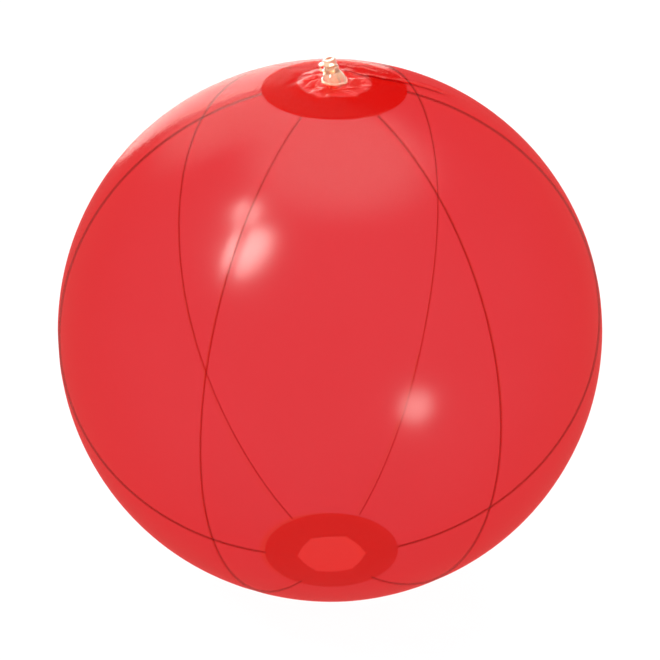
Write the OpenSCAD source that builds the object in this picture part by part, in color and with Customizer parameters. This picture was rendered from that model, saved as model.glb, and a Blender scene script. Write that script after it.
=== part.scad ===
// Inflatable beach ball: six film panels, two end discs and a push-in valve with a captive plug.
// Z is up through the valve. The origin is the lowest point of the ball, where it stands.

/* [Ball] */
// Inflated diameter over the panels
ball_d = 280; // [180:1:400]
// Thickness of the film
film_t = 0.25; // [0.2:0.01:0.5]
// How far a welded edge stands into the ball
seam_depth = 1.2; // [0.6:0.1:3]
// Width across the corners of the opening that the panels leave at each pole
window_w = 40; // [33:1:56]
// Diameter of the two end discs
disc_d = 72; // [60:1:100]

/* [Valve flange] */
// Diameter of the flange that is welded under the valve disc
flange_d = 26; // [20:0.5:28]
// Thickness of the flange
flange_t = 0.8; // [0.5:0.1:1.5]

/* [Bulb] */
// Outside diameter of the soft bulb that the stem stands in
bulb_d = 11.8; // [9.8:0.1:15]
// Wall of the bulb
bulb_wall = 0.8; // [0.5:0.1:1.2]
// How far the bulb's foot flares out past the bulb
foot_flare = 0.7; // [0.3:0.1:1.2]
// Height of the foot over the film
foot_up = 0.6; // [0.3:0.1:1.5]

/* [Stem] */
// Outside diameter of the stem's tube
stem_d = 6.8; // [5.6:0.1:8.2]
// Bore of the stem
bore_d = 4.6; // [3.8:0.1:5.6]
// How much wider the plug's seat at the mouth is than the bore, on each side
seat_step = 0.2; // [0.1:0.05:0.25]
// How far the lip round the stem's mouth stands out from the tube
lip_proud = 0.3; // [0.1:0.1:0.8]
// Height of the lip
lip_h = 2.2; // [1.2:0.1:2.7]
// Length of the tube under the film
tail_len = 3.2; // [2:0.1:8]
// Angle that the popped-up stem leans over by
lean = 14; // [0:1:20]

/* [Check flap] */
// How far the flap laps over the edge of the bore
flap_lap = 0.8; // [0.4:0.1:1.5]
// Thickness of the flap
flap_t = 0.4; // [0.2:0.1:0.8]

/* [Plug and strap] */
// Diameter of the plug's head
head_d = 6.4; // [5.6:0.1:7.7]
// Height of the head
head_h = 4.2; // [2:0.1:6]
// Height of the straight band that seals in the bore
band_h = 1; // [0.6:0.1:1]
// Length of the taper under the band
taper_len = 2.4; // [1:0.1:2.5]
// How much the taper narrows on each side
taper_in = 0.85; // [0.8:0.05:1.4]
// Width of the strap
strap_w = 2.4; // [1.5:0.1:3.5]
// Thickness of the strap
strap_t = 0.9; // [0.6:0.1:1.1]
// Gap between the lip and the strap's hinge line
hinge_gap = 1.5; // [1.4:0.1:2.4]
// Height of the lug that the strap hinges on
lug_h = 1.4; // [0.8:0.1:3]

/* [Clearances] */
// Radial gap of parts that slide or turn in each other
running = 0.05; // [0.03:0.01:0.1]
// Gap between faces that meet across a joint
face_gap = 0.05; // [0.03:0.01:0.2]
// Gap between the top of the bulb and the lug
lug_gap = 0.25; // [0.1:0.05:1]
// Radial gap between the bulb's foot and the valve disc's hole
hole_gap = 0.4; // [0.1:0.1:1]
// Gap between the plug's tip and the floor of its seat
tip_gap = 0.4; // [0.2:0.1:1]

/* [Hidden] */
$fn = 96;
GORE_COUNT = 6;
GORE_STEP = 360 / GORE_COUNT;
overcut = 1;

ball_r = ball_d / 2;
centre_z = ball_r + film_t;
film_z = centre_z + ball_r;
window_flat = window_w / 2 * cos(GORE_STEP / 2);

foot_d = bulb_d + 2 * foot_flare;
bulb_top = sqrt(pow(bulb_d / 2, 2) - pow(stem_d / 2, 2));
lip_d = stem_d + 2 * lip_proud;
seat_d = bore_d + 2 * seat_step;
seat_len = band_h + taper_len + tip_gap;
band_d = seat_d - 2 * running;
tip_d = band_d - 2 * taper_in;
flap_d = bore_d + 2 * flap_lap;

knuckle_r = strap_t / 2 + 0.15;
hinge_x = lip_d / 2 + hinge_gap;
lug_reach = hinge_x - knuckle_r;
lug_top = bulb_top + lug_gap + lug_h;
pivot_z = lug_top + face_gap + knuckle_r;
mouth_h = pivot_z + band_h / 2;
head_z = mouth_h + face_gap;
strap_z = head_z + 0.45 * head_h;

// Hollow ball between two radii
module shell(outer_r, inner_r) {
    translate([0, 0, centre_z]) difference() {
        sphere(r = outer_r);
        sphere(r = inner_r);
    }
}

// Column round the axis that takes in one pole, at the top or at the bottom
module pole_column(d, top = true) {
    translate([0, 0, top ? centre_z : -overcut])
        cylinder(d = d, h = ball_r + film_t + overcut);
}

// One sixth of the space round the axis, cut off straight at the window's edge
module gore_space() {
    slope = tan(GORE_STEP / 2);
    linear_extrude(height = ball_d + 2 * film_t) polygon([
        [window_flat, -window_flat * slope],
        [ball_d, -ball_d * slope],
        [ball_d, ball_d * slope],
        [window_flat, window_flat * slope]
    ]);
}

// Flat slab of film along one edge of a gore, where its weld turns into the ball
module edge_slab() {
    rotate([0, 0, GORE_STEP / 2])
        translate([0, -film_t, 0])
            cube([ball_d, film_t, ball_d + 2 * film_t]);
}

// One panel with both of its welded edges
module gore(index) {
    color("crimson") rotate([0, 0, (index - 0.5) * GORE_STEP]) {
        intersection() {
            shell(ball_r, ball_r - film_t);
            gore_space();
        }
        for (side = [0, 1]) mirror([0, side, 0]) intersection() {
            shell(ball_r - film_t / 2, ball_r - film_t - seam_depth);
            gore_space();
            edge_slab();
        }
    }
}

module base_disc() {
    color("firebrick") intersection() {
        shell(ball_r + film_t, ball_r);
        pole_column(disc_d, top = false);
    }
}

module valve_disc() {
    color("firebrick") difference() {
        intersection() {
            shell(ball_r + film_t, ball_r);
            pole_column(disc_d);
        }
        pole_column(foot_d + 2 * hole_gap);
    }
}

module valve_flange() {
    color("mistyrose") difference() {
        intersection() {
            shell(ball_r, ball_r - flange_t);
            pole_column(flange_d);
        }
        pole_column(foot_d);
    }
}

// Places parts on the stem's leaning axis, with heights counted from the film
module on_stem_axis() {
    translate([0, 0, film_z]) rotate([0, -lean, 0]) children();
}

// Soft hollow dome on a short foot, which turns inside out when the stem is pushed in
module valve_bulb() {
    room_d = bulb_d - 2 * bulb_wall;
    color("mistyrose") difference() {
        translate([0, 0, film_z]) {
            difference() {
                sphere(d = bulb_d);
                translate([0, 0, -bulb_d]) cube(2 * bulb_d, center = true);
            }
            translate([0, 0, -flange_t]) cylinder(d = foot_d, h = flange_t + foot_up);
        }
        translate([0, 0, film_z]) sphere(d = room_d);
        translate([0, 0, film_z - flange_t - overcut])
            cylinder(d = room_d, h = flange_t + overcut);
        on_stem_axis() cylinder(d = stem_d + 2 * running, h = bulb_d);
    }
}

// Tube with a thick lip and the plug's seat at its mouth, and a lug on one side for the strap
module valve_stem() {
    color("lavenderblush") on_stem_axis() difference() {
        union() {
            translate([0, 0, -tail_len]) cylinder(d = stem_d, h = mouth_h + tail_len);
            translate([0, 0, mouth_h - lip_h]) cylinder(d = lip_d, h = lip_h);
            translate([-lug_reach, -strap_w / 2, lug_top - lug_h])
                cube([lug_reach, strap_w, lug_h]);
        }
        translate([0, 0, -tail_len - overcut])
            cylinder(d = bore_d, h = mouth_h + tail_len + 2 * overcut);
        translate([0, 0, mouth_h - seat_len])
            cylinder(d = seat_d, h = seat_len + overcut);
    }
}

// Thin flap over the tube's inner end, hinged on the side away from the strap
module check_flap() {
    color("lavenderblush") on_stem_axis()
        translate([0, 0, -tail_len - face_gap - flap_t])
            cylinder(d = flap_d, h = flap_t);
}

// Head, sealing band and taper, with the strap that runs down to its hinge beside the stem
module plug() {
    color("lavenderblush") on_stem_axis() {
        translate([0, 0, head_z]) cylinder(d = head_d, h = head_h);
        translate([0, 0, mouth_h - band_h]) cylinder(d = band_d, h = band_h + face_gap);
        translate([0, 0, mouth_h - band_h - taper_len])
            cylinder(d1 = tip_d, d2 = band_d, h = taper_len);
        translate([-hinge_x, -strap_w / 2, strap_z])
            cube([hinge_x, strap_w, strap_t]);
        translate([-hinge_x - strap_t / 2, -strap_w / 2, pivot_z])
            cube([strap_t, strap_w, strap_z + strap_t - pivot_z]);
        translate([-hinge_x, strap_w / 2, pivot_z]) rotate([90, 0, 0])
            cylinder(r = knuckle_r, h = strap_w);
    }
}

gore(1);  // gore_1
gore(2);  // gore_2
gore(3);  // gore_3
gore(4);  // gore_4
gore(5);  // gore_5
gore(6);  // gore_6
base_disc();
valve_disc();
valve_flange();
valve_bulb();
valve_stem();
check_flap();
plug();
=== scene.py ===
import bpy
import math
from mathutils import Matrix, Vector, noise


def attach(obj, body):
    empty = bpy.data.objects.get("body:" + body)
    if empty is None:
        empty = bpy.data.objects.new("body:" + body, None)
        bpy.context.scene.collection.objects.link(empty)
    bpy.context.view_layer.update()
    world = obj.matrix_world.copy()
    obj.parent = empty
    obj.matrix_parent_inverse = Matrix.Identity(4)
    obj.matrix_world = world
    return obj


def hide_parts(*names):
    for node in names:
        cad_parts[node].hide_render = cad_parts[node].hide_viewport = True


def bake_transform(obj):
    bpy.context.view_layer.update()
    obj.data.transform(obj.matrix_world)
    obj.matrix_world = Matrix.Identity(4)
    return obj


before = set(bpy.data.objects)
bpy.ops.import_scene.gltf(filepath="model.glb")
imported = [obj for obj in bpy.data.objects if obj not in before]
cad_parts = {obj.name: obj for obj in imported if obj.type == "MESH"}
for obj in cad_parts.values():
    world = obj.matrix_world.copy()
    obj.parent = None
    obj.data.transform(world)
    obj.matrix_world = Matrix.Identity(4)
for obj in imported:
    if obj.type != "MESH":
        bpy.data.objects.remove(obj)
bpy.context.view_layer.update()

mm = 0.001

# the ball all other pieces follow, lengths in mm
ball = {
    "radius": 140.0,
    "centreHeight": 140.25,
    "filmThickness": 0.25,
    "bottomSlip": 3.0,        # how far the ends of the panels sit off the axis at the base
    "equatorSwell": 0.5,      # air pressure makes it a little wider than high
}
centre = Vector((0, 0, ball["centreHeight"] * mm))
poleHeight = ball["centreHeight"] + ball["radius"]
mmPerDegree = 2.44            # along the ball's surface
nearlyNothing = 0.02          # mm, where an outline meets the axis that it is spun round


def selectNothing():
    if bpy.context.object and bpy.context.object.mode != "OBJECT":
        bpy.ops.object.mode_set(mode="OBJECT")
    bpy.ops.object.select_all(action="DESELECT")


def makeActive(piece):
    selectNothing()
    piece.select_set(True)
    bpy.context.view_layer.objects.active = piece


def applyModifier(piece, kind, **settings):
    makeActive(piece)
    modifier = piece.modifiers.new(kind.title(), kind)
    for name, value in settings.items():
        setattr(modifier, name, value)
    bpy.ops.object.modifier_apply(modifier=modifier.name)


def selectWhere(piece, domain, test):
    # picks vertices, edges or faces by their place, then leaves the piece in edit mode
    bpy.ops.object.mode_set(mode="OBJECT")
    mesh = piece.data
    for group in (mesh.vertices, mesh.edges, mesh.polygons):
        group.foreach_set("select", [False] * len(group))
    for part in getattr(mesh, domain):
        part.select = bool(test(part))
    bpy.ops.object.mode_set(mode="EDIT")
    bpy.ops.mesh.select_mode(type={"vertices": "VERT", "edges": "EDGE", "polygons": "FACE"}[domain])


def edgeCentre(mesh, edge):
    a, b = edge.vertices
    return (mesh.vertices[a].co + mesh.vertices[b].co) / 2


def moveEach(piece, change):
    # pushes every vertex by given rules, as with a sculpting brush
    mesh = piece.data
    for vertex in mesh.vertices:
        vertex.co = change(vertex.co.copy())
    mesh.update()


def ease(start, end, value):
    t = min(max((value - start) / (end - start), 0.0), 1.0)
    return t * t * (3 - 2 * t)


def spinOutline(name, outline, steps=96):
    # draws a closed outline of (distance from the axis, height) in mm and spins it round the Z axis
    selectNothing()
    x, z = outline[0]
    bpy.ops.mesh.primitive_plane_add(size=0.001, location=(0, 0, 0))
    piece = bpy.context.object
    piece.name = name
    bpy.ops.object.mode_set(mode="EDIT")
    bpy.ops.mesh.select_mode(type="VERT")
    bpy.ops.mesh.select_all(action="SELECT")
    bpy.ops.mesh.merge(type="CENTER")
    bpy.ops.transform.translate(value=(x * mm, 0, z * mm))
    for nextX, nextZ in outline[1:] + outline[:1]:
        bpy.ops.mesh.extrude_vertices_move(
            TRANSFORM_OT_translate={"value": ((nextX - x) * mm, 0, (nextZ - z) * mm)})
        x, z = nextX, nextZ
    bpy.ops.mesh.select_all(action="SELECT")
    bpy.ops.mesh.remove_doubles(threshold=0.000001)
    bpy.ops.mesh.select_all(action="SELECT")
    bpy.ops.mesh.spin(steps=steps, angle=2 * math.pi, center=(0, 0, 0), axis=(0, 0, 1))
    bpy.ops.mesh.select_all(action="SELECT")
    bpy.ops.mesh.remove_doubles(threshold=0.000004)
    bpy.ops.mesh.select_all(action="SELECT")
    bpy.ops.mesh.normals_make_consistent(inside=False)
    bpy.ops.object.mode_set(mode="OBJECT")
    return piece


# materials
def linearColour(code):
    # sRGB hex to the linear values that the sockets take
    values = [int(code[i:i + 2], 16) / 255 for i in (1, 3, 5)]
    return (*[v / 12.92 if v <= 0.04045 else ((v + 0.055) / 1.055) ** 2.4 for v in values], 1.0)


def addNode(tree, kind, inputs=None, **settings):
    # one node with its settings, and its inputs as values or as links from other nodes
    node = tree.nodes.new(kind)
    for name, value in settings.items():
        setattr(node, name, value)
    for key, value in (inputs or {}).items():
        if isinstance(value, bpy.types.NodeSocket):
            tree.links.new(value, node.inputs[key])
        else:
            node.inputs[key].default_value = value
    return node


def newMaterial(name):
    material = bpy.data.materials.new(name)
    material.use_nodes = True
    material.node_tree.nodes.clear()
    return material, material.node_tree


# what each film layer lets through on one of its two surfaces, face on and at a grazing angle
filmLook = {
    "faceOn": "#F5AFB4",
    "grazing": "#F39596",
    "thicker": "#F4A9AE",
    "gloss": 0.015,          # reflection face on
    "edgeGloss": 0.07,       # and what it gains towards the rim
    "reflection": "#FFFAF2",
    "smoothest": 0.17,
    "roughest": 0.24,
    "blotchSize": 45.0,      # mm, where the calendered film runs thicker and thinner
    "streakSize": 3.0,       # mm, fine draw lines of the calender
    "streakRun": 0.12,       # how much they are drawn out, up and down the panel
    "bumpHeight": 0.006,     # mm
    # under the end discs the film is welded flat: deeper, with little gloss of its own
    "weldFrom": 0.0,         # mm from the axis
    "weldRadius": 36.0,      # mm from the axis
    "weldTint": "#FFF6D8",
    "weldDulls": 0.75,       # the share of the gloss that is lost there
}


def calenderedVinylFilm(name, look):
    # soft PVC film rolled thin: clear tinted glass-like sheet, wet-looking gloss, faint draw lines
    material, tree = newMaterial(name)
    place = addNode(tree, "ShaderNodeTexCoord").outputs["Object"]
    blotch = addNode(tree, "ShaderNodeTexNoise",
                     {"Vector": place, "Scale": 1000 / look["blotchSize"], "Detail": 3.0, "Roughness": 0.5})
    stretched = addNode(tree, "ShaderNodeMapping",
                        {"Vector": place, "Scale": (1.0, 1.0, look["streakRun"])})
    streak = addNode(tree, "ShaderNodeTexNoise",
                     {"Vector": stretched.outputs["Vector"], "Scale": 1000 / look["streakSize"],
                      "Detail": 2.0, "Roughness": 0.4})
    facing = addNode(tree, "ShaderNodeLayerWeight", {"Blend": 0.5})
    grazing = addNode(tree, "ShaderNodeMath", {0: facing.outputs["Facing"], 1: 2.0}, operation="POWER")
    thick = addNode(tree, "ShaderNodeMix", {0: blotch.outputs["Fac"], 6: linearColour(look["faceOn"]),
                                            7: linearColour(look["thicker"])}, data_type="RGBA")
    tint = addNode(tree, "ShaderNodeMix", {0: grazing.outputs[0], 6: thick.outputs[2],
                                           7: linearColour(look["grazing"])}, data_type="RGBA")
    fromAxis = addNode(tree, "ShaderNodeVectorMath", {0: place, 1: (1.0, 1.0, 0.0)}, operation="MULTIPLY")
    span = addNode(tree, "ShaderNodeVectorMath", {0: fromAxis.outputs["Vector"]}, operation="LENGTH")
    inner = addNode(tree, "ShaderNodeMath", {0: span.outputs["Value"], 1: look["weldRadius"] * mm},
                    operation="LESS_THAN")
    outer = addNode(tree, "ShaderNodeMath", {0: span.outputs["Value"], 1: look["weldFrom"] * mm},
                    operation="GREATER_THAN")
    welded = addNode(tree, "ShaderNodeMath", {0: inner.outputs[0], 1: outer.outputs[0]},
                     operation="MULTIPLY")
    deeper = addNode(tree, "ShaderNodeMix", {0: welded.outputs[0], 6: tint.outputs[2],
                                             7: linearColour(look["weldTint"])},
                     data_type="RGBA", blend_type="MULTIPLY")
    # Schlick's rule, the same from both sides of a thin sheet
    fifth = addNode(tree, "ShaderNodeMath", {0: facing.outputs["Facing"], 1: 5.0}, operation="POWER")
    mirror = addNode(tree, "ShaderNodeMath",
                     {0: fifth.outputs[0], 1: look["edgeGloss"], 2: look["gloss"]},
                     operation="MULTIPLY_ADD")
    # only the outside is glossy, the inside is dusted so that it does not stick to itself
    geometry = addNode(tree, "ShaderNodeNewGeometry")
    outwards = addNode(tree, "ShaderNodeVectorMath", {0: place, 1: centre}, operation="SUBTRACT")
    facesOut = addNode(tree, "ShaderNodeVectorMath", {0: outwards.outputs["Vector"],
                                                      1: geometry.outputs["Normal"]},
                       operation="DOT_PRODUCT")
    outside = addNode(tree, "ShaderNodeMath", {0: facesOut.outputs["Value"], 1: 0.0},
                      operation="GREATER_THAN")
    bare = addNode(tree, "ShaderNodeMath",
                   {0: welded.outputs[0], 1: -look["weldDulls"], 2: outside.outputs[0]},
                   operation="MULTIPLY_ADD", use_clamp=True)
    front = addNode(tree, "ShaderNodeMath", {0: bare.outputs[0], 1: geometry.outputs["Backfacing"]},
                    operation="SUBTRACT", use_clamp=True)
    sheen = addNode(tree, "ShaderNodeMath", {0: mirror.outputs[0], 1: front.outputs[0]},
                    operation="MULTIPLY")
    rough = addNode(tree, "ShaderNodeMapRange", {"Value": blotch.outputs["Fac"], "From Min": 0.3,
                                                 "From Max": 0.7, "To Min": look["smoothest"],
                                                 "To Max": look["roughest"]})
    waves = addNode(tree, "ShaderNodeMath",
                    {0: blotch.outputs["Fac"], 1: 6.0, 2: streak.outputs["Fac"]}, operation="MULTIPLY_ADD")
    bump = addNode(tree, "ShaderNodeBump", {"Height": waves.outputs[0], "Strength": 1.0,
                                            "Distance": look["bumpHeight"] * mm})
    clear = addNode(tree, "ShaderNodeBsdfTransparent", {"Color": deeper.outputs[2]})
    gloss = addNode(tree, "ShaderNodeBsdfGlossy", {"Roughness": rough.outputs["Result"],
                                                   "Normal": bump.outputs["Normal"],
                                                   "Color": linearColour(look["reflection"])})
    mixed = addNode(tree, "ShaderNodeMixShader", {0: sheen.outputs[0], 1: clear.outputs[0],
                                                  2: gloss.outputs[0]})
    addNode(tree, "ShaderNodeOutputMaterial", {"Surface": mixed.outputs[0]})
    return material


# welded edge: two films fused into one line, deeper red and a little duller
weldLook = dict(filmLook, faceOn="#F3AEA6", grazing="#F1A49A", thicker="#F1A89E", blotchSize=9.0,
                edgeGloss=0.06, roughest=0.26, bumpHeight=0.02)
# end disc: one more film, with a window of bare gloss in the middle and a dull welded ring round it
discLook = dict(filmLook, faceOn="#FAB0A8", grazing="#F89E92", thicker="#F9AAA1", blotchSize=25.0,
                gloss=0.014, edgeGloss=0.11, weldFrom=18.5, weldRadius=200.0, weldTint="#FFFCF2")
# pinched film: folded double, so deep red, with small bright glints on its back
pinchLook = dict(discLook, weldRadius=0.0, faceOn="#FF9484", grazing="#FF8878", thicker="#FF8E7E",
                 gloss=0.04)

filmMaterial = calenderedVinylFilm("redCalenderedVinylFilm", filmLook)
weldMaterial = calenderedVinylFilm("weldedVinylEdge", weldLook)
discMaterial = calenderedVinylFilm("redVinylEndDisc", discLook)
pinchMaterial = calenderedVinylFilm("foldedVinylFilm", pinchLook)

# the valve's flange is welded to the film with no air between, so it barely shows
flangeLook = dict(filmLook, faceOn="#FDF1E6", grazing="#F9E2D0", thicker="#FBECDD", edgeGloss=0.05,
                  weldRadius=0.0, blotchSize=6.0)
flangeMaterial = calenderedVinylFilm("weldedClearFlange", flangeLook)


vinylLook = {
    "clear": "#F9E0C6",
    "milky": "#F3CFA8",
    "smoothest": 0.06,
    "roughest": 0.2,
    "flowSize": 2.5,         # mm, marks where the melt ran into the mould
    "flowHeight": 0.08,      # mm
    "flowStrength": 0.6,
    "ior": 1.53,
    "transmission": 0.8,
}


def mouldedClearVinyl(name, look):
    # soft PVC moulded clear and a touch yellow: milky edges, soft gloss, tiny flow marks
    material, tree = newMaterial(name)
    place = addNode(tree, "ShaderNodeTexCoord").outputs["Object"]
    flow = addNode(tree, "ShaderNodeTexNoise",
                   {"Vector": place, "Scale": 1000 / look["flowSize"], "Detail": 3.0})
    rough = addNode(tree, "ShaderNodeMapRange",
                    {"Value": flow.outputs["Fac"], "To Min": look["smoothest"], "To Max": look["roughest"]})
    shade = addNode(tree, "ShaderNodeMix", {0: flow.outputs["Fac"], 6: linearColour(look["clear"]),
                                            7: linearColour(look["milky"])}, data_type="RGBA")
    bump = addNode(tree, "ShaderNodeBump",
                   {"Height": flow.outputs["Fac"], "Strength": look["flowStrength"],
                    "Distance": look["flowHeight"] * mm})
    body = addNode(tree, "ShaderNodeBsdfPrincipled",
                   {"Base Color": shade.outputs[2], "Roughness": rough.outputs["Result"],
                    "IOR": look["ior"], "Transmission Weight": look["transmission"],
                    "Normal": bump.outputs["Normal"]})
    addNode(tree, "ShaderNodeOutputMaterial", {"Surface": body.outputs[0]})
    return material


valveMaterial = mouldedClearVinyl("clearMouldedVinyl", vinylLook)
print("Materials made")


# panels
panel = {
    "columns": 40,            # faces across one panel
    "rings": 96,              # faces from pole to pole
    "windowFlat": 17.32,      # mm from the axis to the straight cut end
    "seamDepth": 0.95,        # mm that the weld stands in
    "flatUnderDisc": 35.0,    # mm from the axis, inside this the welds are pressed flat
    "seamGap": 0.03,          # mm between the two panels' edges
    "seamRound": 0.35,        # mm radius where the film turns in to its weld
    "seamDip": 0.14,          # mm that the seam pulls the film in
    "dipWidth": 3.5,          # mm on each side of a seam
    "puckerHeight": 0.10,     # mm, short puckers that run off the weld
    "puckerWidth": 11.0,      # mm on each side of a seam
    "puckerPitch": 0.11,      # puckers for each mm of weld
    "puckerShift": 7.3,       # moves each panel's puckers on, so that no two panels match
    "puckerFade": 0.02,       # how soon they change away from the weld
    "bulge": 0.25,            # mm that the air lifts the film between two seams
    "bulgeWidth": 32.0,       # mm from a seam to most of the bulge
    "bulgeBase": -0.2,        # mm, and where the bulge starts from
    "weldEndsAt": 35.5,       # mm from the axis, under the disc the weld has the film's look
    "weldReach": 1.1,         # how far the weld's look goes, to seamRound
    "crowding": 0.8,          # 0 for even columns, up to 1 for most of them near the welds
    "fineReach": 36.0,        # mm from the axis, inside this the film is crumpled and needs more faces
    "fineCuts": 2,
    # degrees that each weld runs off its even place, from +X round
    "seamDrift": [-3.0, 0.7, 3.2, 3.7, 0.0, 2.3],
}

# the fold that a hand left in the film, from behind the valve over the disc's edge: (x, y) in mm
fold = {
    "path": [(2, 20), (8, 16.5), (14, 13), (26, 9.5), (34, 10), (46, 11.5), (56, 11.5), (64, 10.5)],
    "depth": 1.3,
    "width": 1.5,
    "shoulder": 0.35,         # how high the film stands up beside the fold, to its depth
    "fadeIn": 8.0,
    "fadeOut": 14.0,
    "wander": 0.7,
    "wanderPitch": 0.22,      # bends for each mm
    "offFoot": 9.0,           # mm from the axis, at its full depth from here
    "besideAt": 2.6,          # how far off the raised film stands, to the width
    "besideWidth": 1.5,
    "span": 9.0,              # mm, past this the film lies still
    "fineSpan": 7.0,          # mm, and inside this it needs more faces
}
crumple = {
    "foot": 6.8,              # mm from the axis, flat round the valve up to here
    "footEase": 10.0,
    "inner": 14.0,            # mm, from here the crumples die away
    "outer": 34.0,            # mm, and here they end
    "height": 0.7,
    "pitch": 0.16,            # waves for each mm
    "uneven": 1.6,
    "sag": -0.25,
}


def nearestOnFold(x, y):
    best = (1e9, 0.0)
    run = 0.0
    for (ax, ay), (bx, by) in zip(fold["path"], fold["path"][1:]):
        length = math.hypot(bx - ax, by - ay)
        t = min(max(((x - ax) * (bx - ax) + (y - ay) * (by - ay)) / length ** 2, 0.0), 1.0)
        side = (bx - ax) * (y - ay) - (by - ay) * (x - ax)
        distance = math.hypot(x - ax - t * (bx - ax), y - ay - t * (by - ay))
        if distance < abs(best[0]):
            best = (math.copysign(distance, side), run + t * length)
        run += length
    return best[0], best[1], run


def topRelief(point):
    # how far the film at the valve end stands off its round shape, in mm
    x, y = point.x / mm, point.y / mm
    if point.z < centre.z:
        return 0.0
    around = math.hypot(x, y)
    lift = 0.0
    if around < crumple["outer"]:
        calm = ease(crumple["foot"], crumple["footEase"], around)
        calm *= 1 - ease(crumple["inner"], crumple["outer"], around)
        wave = noise.noise(Vector((x * crumple["pitch"], y * crumple["pitch"], 4.2)))
        lift += crumple["height"] * calm * (wave * crumple["uneven"] + crumple["sag"])
    side, run, total = nearestOnFold(x, y)
    if abs(side) < fold["span"]:
        fade = ease(0, fold["fadeIn"], run) * (1 - ease(total - fold["fadeOut"], total, run))
        offset = side + fold["wander"] * noise.noise(Vector((run * fold["wanderPitch"], 0, 9.1)))
        crease = math.exp(-(offset / fold["width"]) ** 2)
        beside = abs(offset) - fold["besideAt"] * fold["width"]
        beside = math.exp(-(beside / (fold["besideWidth"] * fold["width"])) ** 2)
        offFoot = ease(crumple["foot"], fold["offFoot"], around)
        lift += fade * fold["depth"] * (fold["shoulder"] * beside - crease) * offFoot
    return lift


def pressurise(point):
    # the whole ball's small departures from a true sphere
    away = point - centre
    reach = away.length
    low = ease(0.1, 0.95, -away.z / reach)
    turn = Matrix.Rotation(-low * ball["bottomSlip"] / ball["radius"], 3, "Y")
    away = turn @ away
    flat = math.hypot(away.x, away.y) / reach
    away *= 1 + ball["equatorSwell"] * (flat ** 2 - 0.35) / ball["radius"]
    return centre + away


def panelOutline():
    selectNothing()
    bpy.ops.mesh.primitive_uv_sphere_add(segments=6 * panel["columns"], ring_count=panel["rings"],
                                         radius=ball["radius"] * mm, location=centre)
    sector = bpy.context.object
    sector.name = "panel"
    bpy.ops.object.transform_apply(location=True, rotation=True, scale=True)

    def outside(face):
        angle = math.degrees(math.atan2(face.center.y, face.center.x)) % 360
        return angle > 60
    selectWhere(sector, "polygons", outside)
    bpy.ops.mesh.delete(type="FACE")
    middle = Vector((math.cos(math.radians(30)), math.sin(math.radians(30)), 0))
    bpy.ops.mesh.select_all(action="SELECT")
    bpy.ops.mesh.bisect(plane_co=middle * panel["windowFlat"] * mm, plane_no=middle, clear_inner=True)
    bpy.ops.object.mode_set(mode="OBJECT")
    return sector


def azimuthOf(point):
    angle = math.degrees(math.atan2(point.y, point.x)) % 360
    return angle - 360 if angle > 300 else angle


def onSide(mesh, edge):
    # an edge that lies in one of the panel's two seam planes
    a, b = (azimuthOf(mesh.vertices[i].co) for i in edge.vertices)
    return (abs(a) < 0.02 and abs(b) < 0.02) or (abs(a - 60) < 0.02 and abs(b - 60) < 0.02)


def turnInEdges(sector):
    mesh = sector.data
    selectWhere(sector, "edges", lambda edge: onSide(mesh, edge))
    share = 1 - (panel["seamDepth"] + ball["filmThickness"]) / ball["radius"]
    bpy.ops.mesh.extrude_region_move(TRANSFORM_OT_translate={"value": (0, 0, 0)})
    bpy.ops.transform.resize(value=(share, share, share), center_override=centre)
    bpy.ops.object.mode_set(mode="OBJECT")
    outerRadius = ball["radius"] * mm * 0.9995
    rim = panel["flatUnderDisc"] * mm

    # under a disc the weld is pressed flat, so nothing stands in there
    def pressedFlat(face):
        low = (face.center - centre).length < outerRadius
        return low and math.hypot(face.center.x, face.center.y) < rim
    selectWhere(sector, "polygons", pressedFlat)
    bpy.ops.mesh.delete(type="FACE")
    bpy.ops.object.mode_set(mode="OBJECT")

    # round the film over where it turns in
    def corner(edge):
        high = all((mesh.vertices[i].co - centre).length > outerRadius for i in edge.vertices)
        middle = edgeCentre(mesh, edge)
        return high and onSide(mesh, edge) and math.hypot(middle.x, middle.y) > rim
    selectWhere(sector, "edges", corner)
    bpy.ops.mesh.bevel(offset=panel["seamRound"] * mm, segments=3, affect="EDGES")
    bpy.ops.object.mode_set(mode="OBJECT")


def crowdColumns(sector):
    # more columns near the two welds, where the film curves most
    def shift(point):
        t = azimuthOf(point) / 60
        if t <= 0.001 or t >= 0.999:
            return point
        closer = t - panel["crowding"] * math.sin(2 * math.pi * t) / (2 * math.pi)
        return Matrix.Rotation(math.radians(60 * (closer - t)), 3, "Z") @ point
    moveEach(sector, shift)


def refineTop(piece):
    # extra faces where the film is crumpled
    def near(face):
        x, y = face.center.x / mm, face.center.y / mm
        side, run, total = nearestOnFold(x, y)
        besideFold = abs(side) < fold["fineSpan"] and run < total
        return face.center.z > centre.z and (math.hypot(x, y) < panel["fineReach"] or besideFold)
    selectWhere(piece, "polygons", near)
    bpy.ops.mesh.subdivide(number_cuts=panel["fineCuts"])
    bpy.ops.mesh.select_all(action="SELECT")
    bpy.ops.mesh.quads_convert_to_tris(quad_method="BEAUTY", ngon_method="BEAUTY")
    bpy.ops.mesh.tris_convert_to_quads()
    bpy.ops.object.mode_set(mode="OBJECT")


def distanceFromSeam(point, start, span):
    # mm along the ball to the nearer of a panel's two welds
    angle = (math.degrees(math.atan2(point.y, point.x)) - start) % 360
    angle = angle - 360 if angle > 300 else angle
    around = math.hypot(point.x, point.y)
    return min(abs(angle), abs(span - angle)) * math.pi / 180 * around / mm


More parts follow.
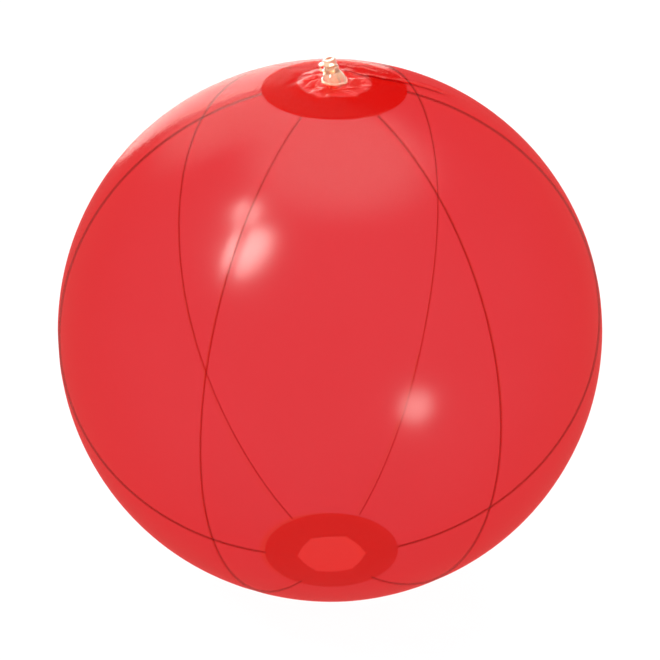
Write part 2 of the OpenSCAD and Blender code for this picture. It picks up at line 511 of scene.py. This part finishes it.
def finishPanel(sector, index):
    piece = sector.copy()
    piece.data = sector.data.copy()
    piece.name = f"filmPanel{index + 1}"
    bpy.context.collection.objects.link(piece)
    makeActive(piece)
    start = 60 * index + panel["seamDrift"][index]
    end = 60 * (index + 1) + panel["seamDrift"][(index + 1) % 6]
    span = end - start

    def place(point):
        t = azimuthOf(point) / 60
        around = math.hypot(point.x, point.y)
        gap = panel["seamGap"] * mm / 2 / max(around, 1e-6)
        angle = math.radians(start + span * t) + (gap if t < 0.5 else -gap)
        return Vector((around * math.cos(angle), around * math.sin(angle), point.z))
    moveEach(piece, place)
    refineTop(piece)

    def shape(point):
        away = point - centre
        fromSeam = distanceFromSeam(point, start, span)
        dip = panel["seamDip"] * math.exp(-(fromSeam / panel["dipWidth"]) ** 2)
        along = math.degrees(math.acos(max(-1, min(1, away.z / away.length)))) * mmPerDegree
        pucker = noise.noise(Vector((along * panel["puckerPitch"], index * panel["puckerShift"],
                                     fromSeam * panel["puckerFade"])))
        dip += panel["puckerHeight"] * pucker * math.exp(-(fromSeam / panel["puckerWidth"]) ** 2)
        swell = panel["bulge"] * (1 - math.exp(-(fromSeam / panel["bulgeWidth"]) ** 2))
        swell += panel["bulgeBase"]
        return pressurise(point + away.normalized() * (swell - dip + topRelief(point)) * mm)
    moveEach(piece, shape)
    piece.data.materials.append(filmMaterial)
    piece.data.materials.append(weldMaterial)
    for face in piece.data.polygons:
        atWeld = distanceFromSeam(face.center, start, span) < panel["seamRound"] * panel["weldReach"]
        if atWeld and math.hypot(face.center.x, face.center.y) > panel["weldEndsAt"] * mm:
            face.material_index = 1
    applyModifier(piece, "SOLIDIFY", thickness=ball["filmThickness"] * mm, offset=-1,
                  use_even_offset=True, use_quality_normals=True)
    makeActive(piece)
    bpy.ops.object.shade_smooth_by_angle(angle=math.radians(50))
    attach(piece, "shell")
    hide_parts(f"gore_{index + 1}")
    return piece


sector = panelOutline()
turnInEdges(sector)
crowdColumns(sector)
panels = [finishPanel(sector, index) for index in range(6)]
bpy.data.objects.remove(sector)
print("Panels made:", sum(len(p.data.polygons) for p in panels), "faces")


# end discs
disc = {
    "diameter": 72.0,
    "thickness": 0.22,
    "lift": 0.03,             # mm over the panels
    "valveHole": 14.0,
    "weldRings": [28.5, 31.0, 33.5],   # mm from the axis, lines that the welding ring pressed in
    "ringDepth": 0.072,
    "ringWidth": 0.35,
    "fineFrom": 26.0,         # mm from the axis, smaller steps from here out
    "fineStep": 0.5,
    "coarseStep": 0.9,
    "clearance": 0.1,         # mm over the crumpled panels
}


def discProfile(inner):
    # heights from the ball's centre out, along the round of the ball
    outer = disc["diameter"] / 2
    spots = []
    r = inner
    while r < outer - 0.4:
        spots.append(r)
        r += disc["fineStep"] if r > disc["fineFrom"] else disc["coarseStep"]
    spots += [outer - 0.15, outer]
    upper, lower = [], []
    radius = ball["radius"] + disc["lift"]
    for r in spots:
        press = sum(disc["ringDepth"] * math.exp(-((r - ring) / disc["ringWidth"]) ** 2)
                    for ring in disc["weldRings"])
        thin = disc["thickness"] * (0.5 if r == outer else 1.0)
        upper.append((r, math.sqrt((radius + thin - press) ** 2 - r ** 2)))
        lower.append((r, math.sqrt(radius ** 2 - r ** 2)))
    return upper + lower[::-1]


def makeDisc(name, inner, node, top):
    outline = [(r, h + ball["centreHeight"]) for r, h in discProfile(inner)]
    piece = spinOutline(name, outline, steps=160)
    if not top:
        makeActive(piece)
        bpy.ops.object.mode_set(mode="EDIT")
        bpy.ops.mesh.select_all(action="SELECT")
        bpy.ops.transform.resize(value=(1, 1, -1), center_override=centre)
        bpy.ops.mesh.normals_make_consistent(inside=False)
        bpy.ops.object.mode_set(mode="OBJECT")

    def shape(point):
        away = point - centre
        return pressurise(point + away.normalized() * (topRelief(point) + disc["clearance"]) * mm)
    moveEach(piece, shape)
    piece.data.materials.append(discMaterial)
    makeActive(piece)
    bpy.ops.object.shade_smooth_by_angle(angle=math.radians(50))
    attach(piece, "shell")
    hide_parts(node)


makeDisc("valveDisc", disc["valveHole"] / 2, "valve_disc", True)
makeDisc("baseDisc", nearlyNothing, "base_disc", False)
print("Discs made")


# pinched film: the long fold, and the short ones that gather round the valve
# each is a path of (x, y) in mm, with its half width at each point and its height in mm
pinches = [
    {"path": [(4, 19.5), (9, 16), (14, 13), (20, 11), (27, 9.6), (35, 10.2), (46, 11.6), (55, 11.8),
              (64, 10.6)],
     "widths": [0.5, 1.5, 1.15, 1.6, 1.1, 1.45, 1.0, 0.8, 0.25], "height": 0.75},
    {"path": [(-7.6, 7.0), (-10.5, 4.4), (-13.5, 2.2), (-17.0, 1.4)],
     "widths": [0.6, 2.0, 1.6, 0.3], "height": 0.9},
    {"path": [(-8.6, 0.8), (-11.0, -2.0), (-12.4, -5.2), (-15.0, -7.4)],
     "widths": [0.5, 1.7, 1.5, 0.3], "height": 0.8},
    {"path": [(12.5, -3.0), (14.6, 0.5), (15.2, 4.0)], "widths": [0.2, 0.6, 0.2], "height": 0.4},
    {"path": [(2.0, -9.0), (7.5, -9.6), (12.0, -7.0)], "widths": [0.2, 0.8, 0.2], "height": 0.4},
]
pinchRipple = 0.35            # how uneven their backs are
pinchRipplePitch = 0.32       # for each mm


def pinchFilm(name, settings):
    # a flattened tube of film that lies along the ball
    selectNothing()
    bpy.ops.curve.primitive_bezier_curve_add(location=(0, 0, 0))
    piece = bpy.context.object
    piece.name = name
    spline = piece.data.splines[0]
    spline.bezier_points.add(len(settings["path"]) - 2)
    level = ball["radius"] + disc["lift"] + disc["thickness"] + disc["clearance"]
    for point, (x, y), width in zip(spline.bezier_points, settings["path"], settings["widths"]):
        lift = topRelief(Vector((x, y, poleHeight)) * mm)
        point.co = Vector((x, y, math.sqrt((level + lift) ** 2 - x * x - y * y)
                           + ball["centreHeight"])) * mm
        point.radius = width
        point.handle_left_type = point.handle_right_type = "AUTO"
    piece.data.bevel_depth = 1.0 * mm
    piece.data.bevel_resolution = 4
    piece.data.resolution_u = 14
    piece.data.use_fill_caps = True
    makeActive(piece)
    bpy.ops.object.convert(target="MESH")
    squashed = settings["height"] / max(settings["widths"]) / 2

    def flatten(point):
        away = point - centre
        base = level + topRelief(point)
        above = away.length / mm - base
        wave = noise.noise(Vector((point.x / mm * pinchRipplePitch, point.y / mm * pinchRipplePitch, 1.7)))
        ripple = 1 + pinchRipple * wave
        return centre + away.normalized() * (base + (above * ripple + 1.0) * squashed) * mm
    moveEach(piece, flatten)
    piece.data.materials.append(pinchMaterial)
    makeActive(piece)
    bpy.ops.object.shade_smooth_by_angle(angle=math.radians(60))
    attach(piece, "shell")


for number, settings in enumerate(pinches):
    pinchFilm(f"filmPinch{number + 1}", settings)
print("Folds made")


# valve, with outlines of (distance from the stem's axis, height over the film) in mm
valve = {
    "lean": 14.0,             # degrees
    "smoothBelow": 40.0,      # degrees
}


def placeOnStem(piece):
    piece.matrix_world = (Matrix.Translation((0, 0, poleHeight * mm))
                          @ Matrix.Rotation(math.radians(-valve["lean"]), 4, "Y"))
    makeActive(piece)
    bpy.ops.object.transform_apply(location=True, rotation=True, scale=True)


def joinInto(piece, others):
    selectNothing()
    for other in others:
        other.select_set(True)
    piece.select_set(True)
    bpy.context.view_layer.objects.active = piece
    bpy.ops.object.join()


def finishValvePiece(piece, body, node, finish=valveMaterial):
    piece.data.materials.clear()
    piece.data.materials.append(finish)
    makeActive(piece)
    bpy.ops.object.shade_smooth_by_angle(angle=math.radians(valve["smoothBelow"]))
    if body:
        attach(piece, body)
    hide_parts(node)


def roundedBlock(name, low, high, radius):
    selectNothing()
    size = [high[i] - low[i] for i in range(3)]
    bpy.ops.mesh.primitive_cube_add(size=1, location=[(low[i] + high[i]) / 2 * mm for i in range(3)],
                                    scale=[s * mm for s in size])
    piece = bpy.context.object
    piece.name = name
    bpy.ops.object.transform_apply(location=True, rotation=True, scale=True)
    applyModifier(piece, "BEVEL", width=radius * mm, segments=4)
    return piece


stemShape = {
    "outline": [
        (2.3, -3.2), (2.9, -3.2), (3.25, -3.1), (3.4, -2.8), (3.4, 4.9), (3.42, 5.2), (3.55, 5.4),
        (3.68, 5.62), (3.7, 5.9), (3.7, 7.1), (3.64, 7.36), (3.48, 7.55), (3.25, 7.62), (2.75, 7.62),
        (2.58, 7.56), (2.5, 7.4), (2.5, 3.95), (2.42, 3.84), (2.3, 3.78)],
    "lug": ((-4.6, -1.2, 5.07), (-2.9, 1.2, 6.47)),      # low and high corner
    "lugRound": 0.3,
}
stem = spinOutline("valveStem", stemShape["outline"], steps=72)
lug = roundedBlock("strapLug", *stemShape["lug"], stemShape["lugRound"])
joinInto(stem, [lug])
placeOnStem(stem)
finishValvePiece(stem, "stem", "valve_stem")

plugShape = {
    "outline": [
        (nearlyNothing, 4.22), (1.35, 4.22), (1.6, 4.4), (2.3, 6.3), (2.44, 6.7), (2.45, 7.0), (2.45, 7.55),
        (2.5, 7.69), (2.95, 7.69), (3.12, 7.78), (3.2, 8.0), (3.2, 11.3), (3.14, 11.62), (2.95, 11.82),
        (2.65, 11.88), (1.9, 11.88), (1.75, 11.8), (1.65, 11.3), (1.5, 11.15),
        (nearlyNothing, 11.12)],
    # up from its hinge beside the stem, over a bend and in to the head
    "strapPath": [(-5.2, 7.0), (-5.25, 8.9), (-4.3, 9.95), (-2.9, 10.0)],
    "strapHandles": [(0, 0.6), (0, 0.55), (0.5, 0.05), (0.5, 0)],
    "strapWidth": 2.4,
    "strapThickness": 0.9,
    "strapRound": 0.25,
    "knuckle": ((-5.8, -1.2, 6.55), (-4.65, 1.2, 7.7)),
    "knuckleRound": 0.5,
}
plug = spinOutline("valvePlug", plugShape["outline"], steps=72)
bpy.ops.curve.primitive_bezier_curve_add(location=(0, 0, 0))
strap = bpy.context.object
strap.name = "plugStrap"
spline = strap.data.splines[0]
spline.bezier_points.add(2)
for point, (x, z), (hx, hz) in zip(spline.bezier_points, plugShape["strapPath"],
                                   plugShape["strapHandles"]):
    point.co = Vector((x, 0, z)) * mm
    point.handle_left_type = point.handle_right_type = "FREE"
    point.handle_left = Vector((x - hx, 0, z - hz)) * mm
    point.handle_right = Vector((x + hx, 0, z + hz)) * mm
strap.data.extrude = plugShape["strapWidth"] / 2 * mm
strap.data.bevel_depth = 0
strap.data.resolution_u = 10
makeActive(strap)
bpy.ops.object.convert(target="MESH")
applyModifier(strap, "SOLIDIFY", thickness=plugShape["strapThickness"] * mm, offset=0,
              use_even_offset=True)
applyModifier(strap, "BEVEL", width=plugShape["strapRound"] * mm, segments=3, limit_method="ANGLE",
              angle_limit=math.radians(60))
knuckle = roundedBlock("strapKnuckle", *plugShape["knuckle"], plugShape["knuckleRound"])
joinInto(plug, [strap, knuckle])
placeOnStem(plug)
finishValvePiece(plug, "plug", "plug")

flapOutline = [(nearlyNothing, -3.65), (2.8, -3.65), (3.05, -3.6), (3.1, -3.45), (3.05, -3.3),
               (2.8, -3.25), (nearlyNothing, -3.25)]
flap = spinOutline("checkFlap", flapOutline, steps=48)
placeOnStem(flap)
finishValvePiece(flap, "flap", "check_flap")

bulbShape = {
    "outline": [
        (6.55, -0.75), (6.6, -0.6), (6.6, 0.35), (6.45, 0.55), (6.15, 0.6), (5.95, 0.7), (5.86, 0.95),
        (5.8, 1.3), (5.62, 1.9), (5.33, 2.55), (4.95, 3.2), (4.45, 3.87), (3.95, 4.38), (3.48, 4.75),
        (3.46, 4.1), (3.9, 3.55), (4.35, 2.95), (4.7, 2.3), (4.95, 1.6), (5.08, 0.9), (5.1, 0.2),
        (5.1, -0.75)],
    "leanFrom": 0.4,          # mm over the film, below this the foot stays flat
    "leanFull": 4.0,
    "tiltFrom": 1.5,
    "tiltFull": 4.5,
    "tilt": 0.192,            # mm for each mm off the axis, lower on the side that it leans to
}
bulb = spinOutline("valveBulb", bulbShape["outline"], steps=96)


def leanWithStem(point):
    # the dome follows the leaning stem, its foot stays flat on the film
    height = point.z / mm
    leaning = ease(bulbShape["leanFrom"], bulbShape["leanFull"], height)
    shift = math.tan(math.radians(valve["lean"])) * height * leaning
    tilting = ease(bulbShape["tiltFrom"], bulbShape["tiltFull"], height)
    rise = bulbShape["tilt"] * tilting * point.x / mm
    return Vector((point.x - shift * mm, point.y, point.z + rise * mm))


moveEach(bulb, leanWithStem)
moveEach(bulb, lambda point: point + Vector((0, 0, poleHeight * mm)))
finishValvePiece(bulb, None, "valve_bulb")

flangeOutline = [(6.65, -0.96), (12.7, -1.35), (12.95, -1.3), (13.0, -1.1), (12.95, -0.8), (12.6, -0.68),
                 (6.65, -0.32)]
flange = spinOutline("valveFlange", flangeOutline, steps=96)
moveEach(flange, lambda point: point + Vector((0, 0, poleHeight * mm)))
moveEach(flange, lambda point: point + Vector((0, 0, topRelief(point) * mm)))
finishValvePiece(flange, "shell", "valve_flange", finish=flangeMaterial)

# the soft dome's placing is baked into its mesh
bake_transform(bulb)
print("Valve made")


# floor, light and camera
studio = {
    "floorSize": 30.0,        # m
    "floorDrop": 0.0005,      # m
    "floorGlow": 0.98,
    "paperClouds": 16.6667,   # mm, faint unevenness of the paper
    "roomGlow": 0.99,
    # direction, half angle of the even part, half angle of the edge, strength
    "panels": [((0.055, 0.282, 0.958), 17, 36, 3.9), ((-0.30, 0.80, 0.53), 8, 26, 4.2)],
    # direction from the ball, distance, width and height in m, power in W
    "lamps": {
        "keySoftbox": ((-0.538, -0.348, 0.761), 1.3, 0.29, 0.46, 13.0),
        "keyStrip": ((-0.523, -0.096, 0.870), 1.3, 0.2, 0.2, 3.2),
        "fillSoftbox": ((0.45, -0.892, -0.03), 0.63, 0.12, 0.12, 0.85),
        "rimSoftbox": ((-0.13, 0.98, 0.13), 0.79, 0.52, 0.62, 7.6),
    },
}


def makeFloor():
    selectNothing()
    bpy.ops.mesh.primitive_plane_add(size=studio["floorSize"], location=(0, 0, -studio["floorDrop"]))
    floor = bpy.context.object
    floor.name = "floor"
    material, tree = newMaterial("paperBackdrop")
    # white paper lit from all round, so it holds almost no shadow
    place = addNode(tree, "ShaderNodeTexCoord").outputs["Object"]
    clouds = addNode(tree, "ShaderNodeTexNoise",
                     {"Vector": place, "Scale": 1000 / studio["paperClouds"]})
    pale = addNode(tree, "ShaderNodeMapRange", {"Value": clouds.outputs["Fac"], "To Min": 0.985,
                                                "To Max": 1.0})
    paper = addNode(tree, "ShaderNodeBsdfDiffuse", {"Color": (0.04, 0.04, 0.04, 1)})
    glow = addNode(tree, "ShaderNodeEmission", {"Color": (1, 1, 1, 1)})
    strength = addNode(tree, "ShaderNodeMath", {0: pale.outputs["Result"], 1: studio["floorGlow"]},
                       operation="MULTIPLY")
    tree.links.new(strength.outputs[0], glow.inputs["Strength"])
    both = addNode(tree, "ShaderNodeAddShader", {0: paper.outputs[0], 1: glow.outputs[0]})
    addNode(tree, "ShaderNodeOutputMaterial", {"Surface": both.outputs[0]})
    floor.data.materials.append(material)


def makeStudio():
    world = bpy.data.worlds.new("studio")
    bpy.context.scene.world = world
    world.use_nodes = True
    tree = world.node_tree
    tree.nodes.clear()
    direction = addNode(tree, "ShaderNodeTexCoord").outputs["Generated"]
    # even white all round, a bright panel overhead and another low behind, to the left
    total = None
    for aim, inner, outer, glow in studio["panels"]:
        toward = addNode(tree, "ShaderNodeVectorMath", {0: direction, 1: Vector(aim).normalized()},
                         operation="DOT_PRODUCT")
        lobe = addNode(tree, "ShaderNodeMapRange",
                       {"Value": toward.outputs["Value"], "From Min": math.cos(math.radians(outer)),
                        "From Max": math.cos(math.radians(inner)), "To Min": 0.0, "To Max": glow},
                       interpolation_type="SMOOTHSTEP")
        total = addNode(tree, "ShaderNodeMath",
                        {0: lobe.outputs["Result"], 1: total.outputs[0] if total else studio["roomGlow"]},
                        operation="ADD")
    background = addNode(tree, "ShaderNodeBackground", {"Color": (1, 1, 1, 1),
                                                        "Strength": total.outputs[0]})
    addNode(tree, "ShaderNodeOutputWorld", {"Surface": background.outputs[0]})


def addLamp(name, direction, distance, width, height, power):
    direction = Vector(direction).normalized()
    bpy.ops.object.light_add(type="AREA", location=centre + direction * distance)
    lamp = bpy.context.object
    lamp.name = name
    lamp.data.shape = "DISK" if width == height else "ELLIPSE"
    lamp.data.size = width
    lamp.data.size_y = height
    lamp.data.energy = power
    lamp.visible_camera = False
    lamp.rotation_mode = "QUATERNION"
    lamp.rotation_quaternion = direction.to_track_quat("Z", "Y")


camera = {
    "azimuth": -94.2,         # degrees from +X
    "elevation": 28.6,
    "distance": 1376.0,       # mm from the ball's centre
    "lens": 145.1,
    "sensor": 36.0,
    "roll": 1.0,
}


def makeCamera():
    azimuth, elevation = math.radians(camera["azimuth"]), math.radians(camera["elevation"])
    back = Vector((math.cos(elevation) * math.cos(azimuth), math.cos(elevation) * math.sin(azimuth),
                   math.sin(elevation)))
    bpy.ops.object.camera_add(location=centre + back * camera["distance"] * mm)
    shot = bpy.context.object
    shot.rotation_mode = "QUATERNION"
    turn = back.to_track_quat("Z", "Y")
    shot.rotation_quaternion = turn @ Matrix.Rotation(math.radians(camera["roll"]), 3, "Z").to_quaternion()
    shot.data.lens = camera["lens"]
    shot.data.sensor_width = camera["sensor"]
    shot.data.clip_start = 0.05
    shot.data.clip_end = 60
    bpy.context.scene.camera = shot


makeFloor()
makeStudio()
for name, settings in studio["lamps"].items():
    addLamp(name, *settings)
makeCamera()
bpy.context.scene.view_settings.view_transform = "Standard"
bpy.context.scene.cycles.transparent_max_bounces = 40
selectNothing()
print("Floor, light and camera made")
